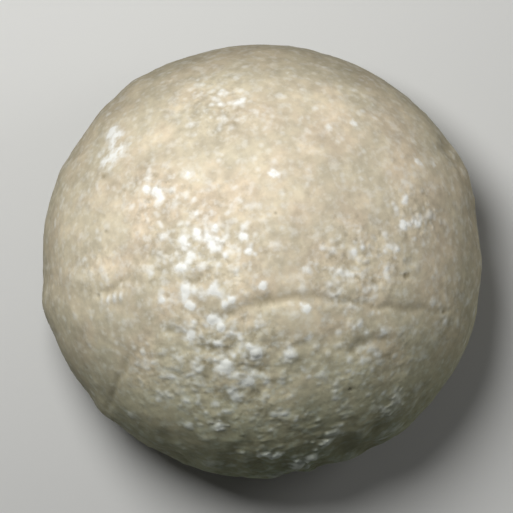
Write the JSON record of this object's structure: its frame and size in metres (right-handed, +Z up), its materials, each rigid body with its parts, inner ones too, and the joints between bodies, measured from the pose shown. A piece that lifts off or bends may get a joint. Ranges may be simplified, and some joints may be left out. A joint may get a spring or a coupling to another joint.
{
  "type": "fossil sea urchin",
  "caption": "Worn, domed fossil sea urchin of pale stone, lying on its flat mouth side, with rays of pores, fine grains, and a sunk mouth and vent.",
  "frame": {"origin": "the middle of the bounding box's underside, on the plane of the flat mouth side that the fossil rests on", "axes": "+Z up through the summit, +X towards the animal's back, where the vent opens low on the rim, -X along its front ray, and +Y across it"},
  "size_m": [0.0302, 0.0296, 0.0176],
  "materials": {
    "stone": "dull, grainy, unpolished limestone"
  },
  "bodies": {
    "root": {"fossil_sea_urchin": "stone"}
  },
  "joints": []
}
